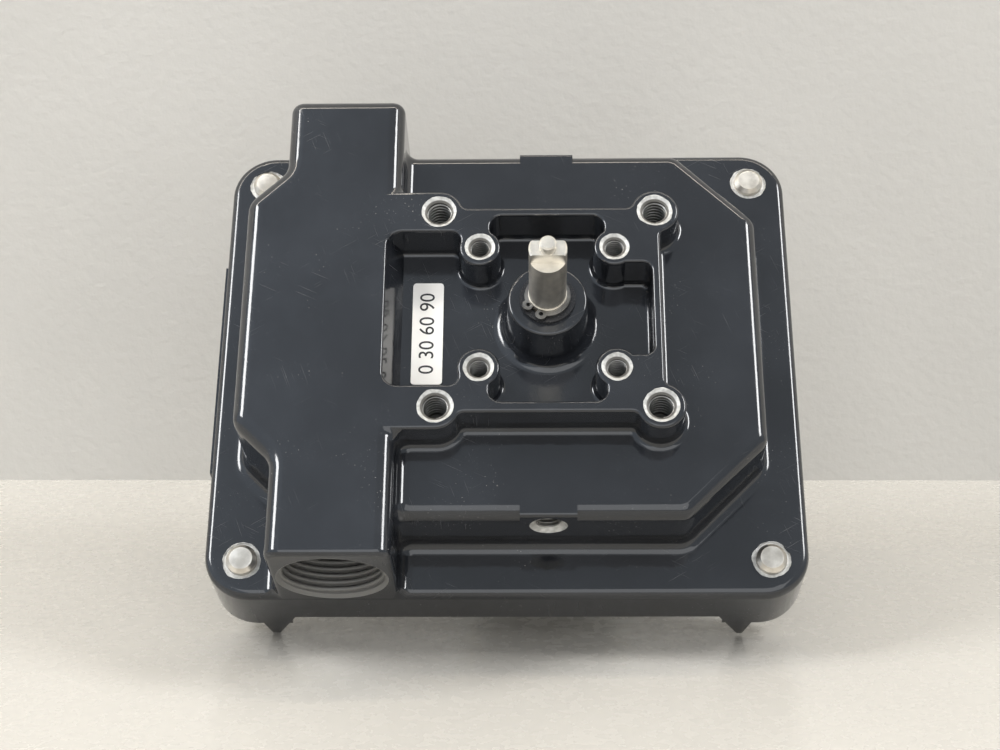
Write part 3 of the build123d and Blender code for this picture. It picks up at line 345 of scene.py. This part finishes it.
scratch = maths(wear_group, "MULTIPLY", folded(wear_group, "MAXIMUM", lines), patchy)
put(wear_group, leave["Scratch"], maths(wear_group, "MULTIPLY", scratch, entry["Scratches"], clamp=True))
clouds = noise(wear_group, place, scale=28.0, detail=4.0, roughness=0.6)
put(wear_group, leave["Smudge"], ramp(wear_group, clouds, low=0.35, high=0.7))
print("wear nodes", len(wear_group.nodes))

# %% [markdown]
# ## The ring group
#
# Four holes of one pattern differ only in the signs of X and Y, so the absolute value folds them into one.
# The Half inputs are half the spacing of the pattern, and zero for a hole that stands alone.
# Wobble makes the paint's edge ragged, inside a second radius the bore is painted dark as painted shade for
# the shadow in the hole, and below Floor there is no ring.

# %% Ring group
# Softness of the edge where the painted shade inside a bore begins.
hole_shade_softness = 0.25 * MM
ring_group, entry, leave = new_group(
    "cut_ring",
    {
        "Vector": None,
        "Centre X": 0.0,
        "Centre Y": 0.0,
        "Half X": 0.0,
        "Half Y": 0.0,
        "Radius": 5 * MM,
        "Hole Shade": 3 * MM,
        "Wobble": 0.3 * MM,
        "Floor": -1.0,
    },
    ["Mask", "Hole Shade", "Distance"],
)
axes = node(ring_group, "ShaderNodeSeparateXYZ", {0: entry["Vector"]}).outputs
squares = []
for axis in ("X", "Y"):
    shifted = maths(ring_group, "SUBTRACT", axes[axis], entry["Centre " + axis])
    offset = maths(ring_group, "SUBTRACT", maths(ring_group, "ABSOLUTE", shifted), entry["Half " + axis])
    squares.append(maths(ring_group, "MULTIPLY", offset, offset))
distance = maths(ring_group, "SQRT", maths(ring_group, "ADD", *squares))
uneven = maths(ring_group, "SUBTRACT", noise(ring_group, entry["Vector"], scale=260.0, detail=3.0), 0.5)
wobbly = maths(ring_group, "ADD", distance, maths(ring_group, "MULTIPLY", uneven, entry["Wobble"]))
inside = maths(ring_group, "LESS_THAN", wobbly, entry["Radius"])
above = maths(ring_group, "GREATER_THAN", axes["Z"], entry["Floor"])
put(ring_group, leave["Mask"], maths(ring_group, "MULTIPLY", inside, above))
# Inside the given radius the bore is painted dark, as painted shade for the shadow in the hole.
hole_shade_end = maths(ring_group, "ADD", entry["Hole Shade"], hole_shade_softness)
in_hole_shade = ramp(ring_group, distance, entry["Hole Shade"], hole_shade_end, bottom=1.0, top=0.0)
put(ring_group, leave["Hole Shade"], in_hole_shade)
put(ring_group, leave["Distance"], distance)
print("groups", [group.name for group in bpy.data.node_groups])

# %% [markdown]
# ## Where the coat was cut away
#
# The holes were drilled and tapped after painting, so the ring masks show bare, dull metal at their rims, and
# deeper in, their bores are painted dark as painted shade.
# The flange is faced round the ends of the cover's bolts, so those four seats are bare too.
# The bolts' box reaches the corners and flats of their heads, so their axes lie that far inside it.
# The earth hole and the conduit open sideways, so their rings read the place with Y and Z exchanged.

# %% Sizes of the rings
outer = mounts["outer_pattern"]["dims"]
inner = mounts["inner_pattern"]["dims"]
conduit = mounts["conduit_entry"]
earth = mounts["earth_hole"]
bolt_low, bolt_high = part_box("cover_bolts")
bolt_head_reach = 7.33 * MM
bolt_flats = bolt_head_reach * math.cos(math.radians(30))
spot_face_radius = 4.95 * MM
split_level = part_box("housing")[0].z
lower_wall_depth = 40 * MM
bolt_axes = {
    "Centre X": (bolt_low.x + bolt_high.x) / 2,
    "Centre Y": (bolt_low.y + bolt_high.y) / 2,
    "Half X": (bolt_high.x - bolt_low.x) / 2 - bolt_head_reach,
    "Half Y": (bolt_high.y - bolt_low.y) / 2 - bolt_flats,
}


def half_spacing(dims):
    """Half the hole-to-hole distance of a square pattern, in metres."""
    return dims["spacing_x_mm"] * MM / 2


def sideways_axis(mount):
    """The ring group's centre for a hole that opens along -Y."""
    return {"Centre X": mount["pos_m"][0], "Centre Y": mount["pos_m"][2]}


outer_axes = {"Half X": half_spacing(outer), "Half Y": half_spacing(outer)}
inner_axes = {"Half X": half_spacing(inner), "Half Y": half_spacing(inner)}
print("half spacings in mm", [round(half_spacing(dims) / MM, 2) for dims in (outer, inner)])

# %% [markdown]
# ## The black coat
#
# Housing and cover are aluminium castings under a thick, glossy black epoxy powder coat.
# Such paint is almost black by itself, and what one sees is mostly the room in its skin.
# So the colour is near black, the gloss is high, and dust, smudges and scratches dull it here and there.
# The conduit's bore has a thinner, duller coat, because spray hardly reaches inside.

# %% Rings and masks of the coat
coat, tree, shader, place = new_material("black_coat_paint")
parts = node(tree, "ShaderNodeSeparateXYZ", {0: place}).outputs
outward = maths(tree, "MULTIPLY", parts["Y"], -1.0)
sideways = node(tree, "ShaderNodeCombineXYZ", {0: parts["X"], 1: parts["Z"], 2: outward}).outputs[0]
ring_settings = [
    {
        "Vector": place, **outer_axes, "Floor": split_level,
        "Radius": 4.7 * MM, "Hole Shade": 3.7 * MM, "Wobble": 1.1 * MM,
    },
    {
        "Vector": place, **inner_axes, "Floor": split_level,
        "Radius": 4.0 * MM, "Hole Shade": 2.95 * MM, "Wobble": 0.7 * MM,
    },
    {
        "Vector": place, **bolt_axes, "Floor": split_level,
        "Radius": spot_face_radius + 0.05 * MM, "Hole Shade": 3.75 * MM, "Wobble": 1.2 * MM,
    },
    {
        "Vector": sideways, **sideways_axis(earth), "Floor": lower_wall_depth,
        "Radius": 4.85 * MM, "Hole Shade": 3.1 * MM, "Wobble": 0.6 * MM,
    },
]
rings = [use_group(tree, ring_group, settings) for settings in ring_settings]
bore = use_group(tree, ring_group, {
    "Vector": sideways, **sideways_axis(conduit), "Floor": lower_wall_depth,
    "Radius": 14.25 * MM, "Wobble": 0.2 * MM,
})["Mask"]
bare = folded(tree, "MAXIMUM", [ring["Mask"] for ring in rings])
# Each hole's bore is painted dark: painted shade that stands in for the shadow inside it.
hole_shade_masks = [maths(tree, "MULTIPLY", ring["Hole Shade"], ring["Mask"]) for ring in rings]
hole_shade = folded(tree, "MAXIMUM", hole_shade_masks)
nearest = folded(tree, "MINIMUM", [ring["Distance"] for ring in rings])
wear = use_group(tree, wear_group, {"Vector": place, "Dust": 0.8, "Scratches": 0.7})
print("bare rings", len(rings))

# %% Colour of the coat
bare_dark, bare_light = (0.40, 0.395, 0.375, 1), (0.60, 0.595, 0.57, 1)
# The dark tone inside the holes is painted shade, not a colour of the metal.
painted_hole_shade_tone = (0.10, 0.095, 0.085, 1)
coat_clean, coat_smudged = (0.0105, 0.0115, 0.014, 1), (0.017, 0.019, 0.023, 1)
dust_tone = (0.20, 0.19, 0.175, 1)
scratch_tone = (0.11, 0.11, 0.11, 1)
bore_tone = (0.15, 0.147, 0.14, 1)
scratch_share = 0.5
metal_tone = ramp(tree, noise(tree, place, scale=900.0, detail=3.0), low=0.3, high=0.7)
metal = blend_colour(tree, metal_tone, bare_dark, bare_light)
# Painted shade: the bare metal turns dark inside each bore.
metal = blend_colour(tree, hole_shade, metal, painted_hole_shade_tone)
paint = blend_colour(tree, wear["Smudge"], coat_clean, coat_smudged)
paint = blend_colour(tree, wear["Dust"], paint, dust_tone)
paint = blend_colour(tree, maths(tree, "MULTIPLY", wear["Scratch"], scratch_share), paint, scratch_tone)
paint = blend_colour(tree, bore, paint, bore_tone)
put(tree, shader.inputs["Base Color"], blend_colour(tree, bare, paint, metal))
print("coat nodes so far", len(tree.nodes))

# %% Gloss and relief of the coat
clean_roughness, smudge_roughness, wear_roughness = 0.07, 0.09, 0.35
bare_roughness, bore_roughness = 0.5, 0.45
bare_metallic = 0.45
tool_mark_waves = 26000.0
bare_relief = 0.6
put(tree, shader.inputs["Metallic"], maths(tree, "MULTIPLY", bare, bare_metallic))
shader.inputs["IOR"].default_value = 1.6
rough = maths(tree, "ADD", clean_roughness, maths(tree, "MULTIPLY", wear["Smudge"], smudge_roughness))
worn = maths(tree, "MAXIMUM", wear["Dust"], wear["Scratch"])
rough = maths(tree, "ADD", rough, maths(tree, "MULTIPLY", worn, wear_roughness))
rough = maths(tree, "MAXIMUM", rough, maths(tree, "MULTIPLY", bare, bare_roughness))
rough = maths(tree, "MAXIMUM", rough, maths(tree, "MULTIPLY", bore, bore_roughness), clamp=True)
put(tree, shader.inputs["Roughness"], rough)
peel = use_group(tree, peel_group, {"Vector": place, "Scale": 420.0})
skin = maths(tree, "MULTIPLY", peel["Height"], maths(tree, "SUBTRACT", 1.0, bare))
tool_marks = maths(tree, "SINE", maths(tree, "MULTIPLY", nearest, tool_mark_waves))
marks = maths(tree, "ADD", tool_marks, metal_tone)
marks = maths(tree, "MULTIPLY", marks, maths(tree, "MULTIPLY", bare, bare_relief))
bumped(tree, shader, maths(tree, "ADD", skin, marks), 0.02 * MM)
print("coat nodes", len(tree.nodes))

# %% [markdown]
# ## Metals
#
# Turned and pressed steel differ in tone and in the direction of their marks, and hardly in anything else.
# One function makes them all: a tone that drifts a little, fine lines round an axis, and darker stains.
# On an end face the lines are circles, on a side they are rings, so their height reads radius plus level.
# The cover's bolts stand away from the shaft, so their lines run round the four axes of the ring group.

# %% Metal finishes
stain_share, stain_tone = 0.35, 0.5
metal_roughness_range = 0.2


def metal_material(name, dark, light, roughness, lines=9000.0, depth=0.016 * MM, line_axes=None):
    """Machined metal, with fine lines round the shaft's axis or round the four axes that are given."""
    material, tree, shader, place = new_material(name)
    radius = use_group(tree, ring_group, {"Vector": place, **(line_axes or {})})["Distance"]
    level = node(tree, "ShaderNodeSeparateXYZ", {0: place}).outputs["Z"]
    stacked = node(tree, "ShaderNodeCombineXYZ", {2: maths(tree, "ADD", radius, level)}).outputs[0]
    turned = noise(tree, stacked, lines)
    drift = ramp(tree, noise(tree, place, scale=220.0, detail=4.0), low=0.3, high=0.7)
    stain = ramp(tree, noise(tree, place, scale=90.0, detail=3.0), low=0.55, high=0.75)
    tone = blend_colour(tree, drift, (*dark, 1), (*light, 1))
    stained = tuple(stain_tone * c for c in dark)
    aged = blend_colour(tree, maths(tree, "MULTIPLY", stain, stain_share), tone, (*stained, 1))
    put(tree, shader.inputs["Base Color"], aged)
    shader.inputs["Metallic"].default_value = 1.0
    rough = ramp(tree, turned, low=0.3, high=0.7, bottom=roughness, top=roughness + metal_roughness_range)
    put(tree, shader.inputs["Roughness"], rough)
    bumped(tree, shader, turned, depth)
    return material


metals = {
    "shaft_steel": metal_material("shaft_steel_turned", (0.64, 0.60, 0.53), (0.84, 0.79, 0.70), 0.27),
    "ring_steel": metal_material(
        "ring_steel_pressed", (0.13, 0.125, 0.12), (0.24, 0.235, 0.225), 0.3, depth=0.002 * MM
    ),
    "stainless": metal_material(
        "stainless_plain", (0.56, 0.52, 0.46), (0.80, 0.75, 0.68), 0.3, lines=4000.0
    ),
    "zinc_steel": metal_material("zinc_plate", (0.55, 0.56, 0.58), (0.74, 0.75, 0.76), 0.22, lines=3000.0),
    "bronze": metal_material("bronze_sintered", (0.36, 0.24, 0.11), (0.52, 0.37, 0.18), 0.38, lines=3000.0),
    "earth_green": metal_material("earth_green_dye", (0.02, 0.22, 0.06), (0.05, 0.34, 0.10), 0.34),
}
bolt_steel = metal_material(
    "bolt_stainless", (0.50, 0.46, 0.40), (0.86, 0.81, 0.73), 0.24,
    lines=2600.0, depth=0.05 * MM, line_axes=bolt_axes,
)
thread_metal = metal_material("thread_bare", (0.20, 0.195, 0.185), (0.40, 0.39, 0.37), 0.36)
print("metals for slots", list(metals))

# %% [markdown]
# ## Plastics, rubber and the clear dome
#
# Moulded plastic has an even colour and a fine, shallow texture from its mould, and rubber is duller still.
# The dome is clear polycarbonate: a Principled shader with full transmission and an index of 1.58.

# %% Moulded finishes
plastic_dust_tone = (0.35, 0.34, 0.32, 1)
plastic_roughness_range = 0.12
mould_texture_depth = 0.012 * MM


def moulded_material(name, colour, roughness, grain=1400.0, tint=0.8):
    """Moulded plastic or rubber, with a drift of tone down to tint and a fine mould texture."""
    material, tree, shader, place = new_material(name)
    texture = noise(tree, place, grain, detail=3.0)
    drift = ramp(tree, noise(tree, place, scale=70.0, detail=3.0), low=0.35, high=0.65)
    darker = tuple(tint * c for c in colour)
    wear = use_group(tree, wear_group, {"Vector": place, "Dust": 0.5, "Scratches": 0.2})
    clean = blend_colour(tree, drift, (*darker, 1), (*colour, 1))
    put(tree, shader.inputs["Base Color"], blend_colour(tree, wear["Dust"], clean, plastic_dust_tone))
    rough = ramp(tree, texture, low=0.3, high=0.7, bottom=roughness, top=roughness + plastic_roughness_range)
    put(tree, shader.inputs["Roughness"], rough)
    bumped(tree, shader, texture, mould_texture_depth)
    return material


plastics = {
    "seal_rubber": moulded_material("seal_rubber_black", (0.018, 0.018, 0.019), 0.6),
    "switch_case": moulded_material("switch_case_phenolic", (0.028, 0.027, 0.03), 0.35),
    "terminal_plastic": moulded_material("terminal_nylon", (0.05, 0.05, 0.055), 0.42),
    "black_washer": moulded_material("black_acetal", (0.014, 0.014, 0.016), 0.22),
    "cam_hub_plastic": moulded_material("hub_acetal", (0.09, 0.09, 0.10), 0.35),
    "cam_green": moulded_material("cam_acetal_green", (0.04, 0.33, 0.10), 0.3),
    "cam_red": moulded_material("cam_acetal_red", (0.50, 0.035, 0.025), 0.3),
    "drum_black": moulded_material("drum_abs_black", (0.022, 0.022, 0.024), 0.4),
    "panel_yellow": moulded_material("panel_abs_yellow", (0.78, 0.52, 0.03), 0.3, tint=0.92),
    "label_white": moulded_material("label_vinyl", (0.90, 0.885, 0.85), 0.38, grain=900.0, tint=0.96),
}
label_ink = moulded_material("label_ink_black", (0.02, 0.02, 0.022), 0.5)
print("plastics for slots", list(plastics))

# %% Clear dome
clear_tone, hazy_tone = (0.96, 0.98, 0.99, 1), (0.85, 0.88, 0.88, 1)
clear_dome, tree, shader, place = new_material("dome_polycarbonate")
clouds = noise(tree, place, scale=55.0, detail=4.0)
haze = ramp(tree, clouds, low=0.4, high=0.75, bottom=0.02, top=0.12)
put(tree, shader.inputs["Base Color"], blend_colour(tree, haze, clear_tone, hazy_tone))
put(tree, shader.inputs["Roughness"], haze)
shader.inputs["Transmission Weight"].default_value = 1.0
shader.inputs["IOR"].default_value = 1.58
bumped(tree, shader, noise(tree, place, scale=120.0, detail=1.0), 0.03 * MM)
print("dome nodes", len(tree.nodes))

# %% [markdown]
# ## Give each solid its finish
#
# The record names a material slot for every solid, and one finish belongs to each slot.
# A dictionary from slot to material keeps the two in step, and a loop hands them out.
# The cover's bolts and washers share their slot with other steel, and then get their own turned finish.
# The solids carry exact normals from the CAD model, so their curved faces are already smooth.

# %% Hand out the finishes
finish_of_slot = {"black_coat": coat, "clear_dome": clear_dome, **metals, **plastics}
slot_of_node = {row["node"]: row["material_slot"] for row in frame["record"]["subparts"]}
for name, solid in nodes.items():
    solid.data.materials.clear()
    solid.data.materials.append(finish_of_slot[slot_of_node[name]])
for name in ("cover_bolts", "bolt_washers"):
    nodes[name].data.materials[0] = bolt_steel
print("finished", len(nodes), "solids in", len(set(slot_of_node.values())), "slots")

# %% [markdown]
# ## Threads
#
# A tapped hole shows ridges that climb its wall, and here they catch the light in every hole.
# A helix is a rule, so Geometry Nodes is the right tool: a spiral curve, swept with a small diamond.
# Half of the diamond is sunk in the wall, so what stands out is a ridge with sloping flanks.
# The tree takes points, one for each hole, and serves every thread with that thread's own sizes.

# %% Mesh helpers
def plain_mesh(name, maker):
    """Evaluate an object with its modifiers, keep the result as a plain mesh, and remove the object."""
    bpy.context.view_layer.update()
    evaluated = maker.evaluated_get(bpy.context.evaluated_depsgraph_get())
    mesh = bpy.data.meshes.new_from_object(evaluated)
    mesh.name = name
    bpy.data.objects.remove(maker)
    return mesh


def housing_piece(name, mesh):
    """Turn a finished mesh into a piece that rides on the housing."""
    made = bpy.data.objects.new(name, mesh)
    bpy.context.scene.collection.objects.link(made)
    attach(made, "housing")
    print(name, len(mesh.polygons), "faces")


def new_geometry_tree(name, inputs):
    """An empty geometry tree with a geometry input and output and named inputs of a given type."""
    tree = bpy.data.node_groups.new(name, "GeometryNodeTree")
    tree.interface.new_socket(name="Geometry", in_out="INPUT", socket_type="NodeSocketGeometry")
    for socket_name, kind in inputs.items():
        tree.interface.new_socket(name=socket_name, in_out="INPUT", socket_type="NodeSocket" + kind)
    tree.interface.new_socket(name="Geometry", in_out="OUTPUT", socket_type="NodeSocketGeometry")
    entry = tree.nodes.new("NodeGroupInput").outputs
    leave = tree.nodes.new("NodeGroupOutput").inputs
    return tree, entry, leave


def run_tree(name, tree, points, values):
    """Run a geometry tree on loose points with its inputs set by identifier, and give the plain mesh."""
    mesh = bpy.data.meshes.new(name)
    mesh.from_pydata(points, [], [])
    maker = bpy.data.objects.new(name + "_maker", mesh)
    bpy.context.scene.collection.objects.link(maker)
    modifier = maker.modifiers.new("tree", "NODES")
    modifier.node_group = tree
    ids = {item.name: item.identifier for item in tree.interface.items_tree if item.in_out == "INPUT"}
    for key, value in values.items():
        modifier[ids[key]] = value
    return plain_mesh(name, maker)


# %% Thread tree
steps_per_turn = 40
thread_inputs = {"Radius": "Float", "Pitch": "Float", "Turns": "Float", "Ridge": "Float"}
thread_inputs.update({"Rotation": "Vector", "Material": "Material"})
thread_tree, entry, leave = new_geometry_tree("thread_ridge", thread_inputs)
spiral = node(thread_tree, "GeometryNodeCurveSpiral", {
    "Resolution": steps_per_turn,
    "Rotations": entry["Turns"],
    "Start Radius": entry["Radius"],
    "End Radius": entry["Radius"],
    "Height": maths(thread_tree, "MULTIPLY", entry["Pitch"], entry["Turns"]),
})
upright = node(thread_tree, "GeometryNodeSetCurveNormal", {"Curve": spiral.outputs[0]}, mode="Z_UP")
diamond = node(thread_tree, "GeometryNodeCurvePrimitiveCircle", {"Resolution": 4, "Radius": entry["Ridge"]})
sweep = {"Curve": upright.outputs[0], "Profile Curve": diamond.outputs[0], "Fill Caps": True}
swept = node(thread_tree, "GeometryNodeCurveToMesh", sweep)
turn = node(thread_tree, "FunctionNodeEulerToRotation", {0: entry["Rotation"]})
copies = {"Points": entry["Geometry"], "Instance": swept.outputs[0], "Rotation": turn.outputs[0]}
placed = node(thread_tree, "GeometryNodeInstanceOnPoints", copies)
real = node(thread_tree, "GeometryNodeRealizeInstances", {0: placed.outputs[0]})
finish = {"Geometry": real.outputs[0], "Material": entry["Material"]}
painted = node(thread_tree, "GeometryNodeSetMaterial", finish)
put(thread_tree, leave["Geometry"], painted.outputs[0])
print("thread tree nodes", len(thread_tree.nodes))

# %% [markdown]
# ## Cutting the threads
#
# Each thread starts deep in its hole and climbs towards the mouth, so its point lies one length below its end.
# The holes of the pad keep a short stretch below their mouths plain, as a tapped hole does at its chamfer.
# The pitches are those of the standard threads that fit the holes, and the conduit's is painted over.

# %% Cut the threads
straight = (0.0, 0.0, 0.0)
along_minus_y = (math.pi / 2, 0.0, 0.0)
pad_mouth = -1.3 * MM
conduit_mouth_inset = 0.6 * MM


def thread_piece(
    name, points, radius, pitch, length, ridge, rotation=straight, material=thread_metal, slot=None
):
    """One piece with a thread in each hole of a kind; it starts at each point and climbs by length."""
    sizes = {"Radius": radius, "Pitch": pitch, "Turns": length / pitch, "Ridge": ridge}
    mesh = run_tree(name, thread_tree, points, {**sizes, "Rotation": rotation, "Material": material})
    housing_piece(name, mesh)


def pad_threads(name, dims, pitch, length, ridge):
    """The threads of one square pattern of holes in the mounting pad."""
    half = half_spacing(dims)
    points = [(x, y, pad_mouth - length) for x in (-half, half) for y in (-half, half)]
    thread_piece(name, points, dims["hole_r_mm"] * MM, pitch, length, ridge)


def side_thread(name, mount, inset, pitch, length, ridge, **looks):
    """The thread of one hole that opens along -Y, with its end an inset behind the hole's mouth."""
    centre_x, centre_y, centre_z = mount["pos_m"]
    dims = mount["dims"]
    mouth = centre_y - dims["length_mm"] * MM / 2 + inset
    points = [(centre_x, mouth + length, centre_z)]
    thread_piece(name, points, dims["r_mm"] * MM, pitch, length, ridge, along_minus_y, **looks)


pad_threads("outer_threads", outer, pitch=1.411 * MM, length=10.2 * MM, ridge=0.42 * MM)
pad_threads("inner_threads", inner, pitch=1.0 * MM, length=9.2 * MM, ridge=0.32 * MM)
side_thread("earth_thread", earth, inset=0.0, pitch=1.0 * MM, length=6.5 * MM, ridge=0.32 * MM)
side_thread(
    "conduit_thread", conduit,
    inset=conduit_mouth_inset, pitch=1.814 * MM, length=17.5 * MM, ridge=0.82 * MM,
    material=coat, slot="black_coat",
)

# %% [markdown]
# ## Numerals on the label
#
# The white label in the side pocket carries plain dark numerals that read upwards.
# Here they are the degrees of the shaft's quarter turn, which such a box could well show.
# Text is a curve in Blender, so it is made a mesh first and then turned and laid on the label.

# %% Label numerals
label_low, label_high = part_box("number_label")
numeral_height = 5.6 * MM
ink_thickness = 0.03 * MM
text = bpy.data.curves.new("numerals", "FONT")
text.body = "0 30 60 90"
text.size = numeral_height
text.align_x = "CENTER"
text.align_y = "CENTER"
text.extrude = ink_thickness / 2
text_object = bpy.data.objects.new("numerals_maker", text)
bpy.context.scene.collection.objects.link(text_object)
numerals = plain_mesh("label_numerals", text_object)
middle = (label_low + label_high) / 2
ink_place = Matrix.Translation((middle.x, middle.y, label_high.z + ink_thickness / 2))
numerals.transform(ink_place @ Matrix.Rotation(math.pi / 2, 4, "Z"))
numerals.materials.clear()
numerals.materials.append(label_ink)
housing_piece("label_numerals", numerals)
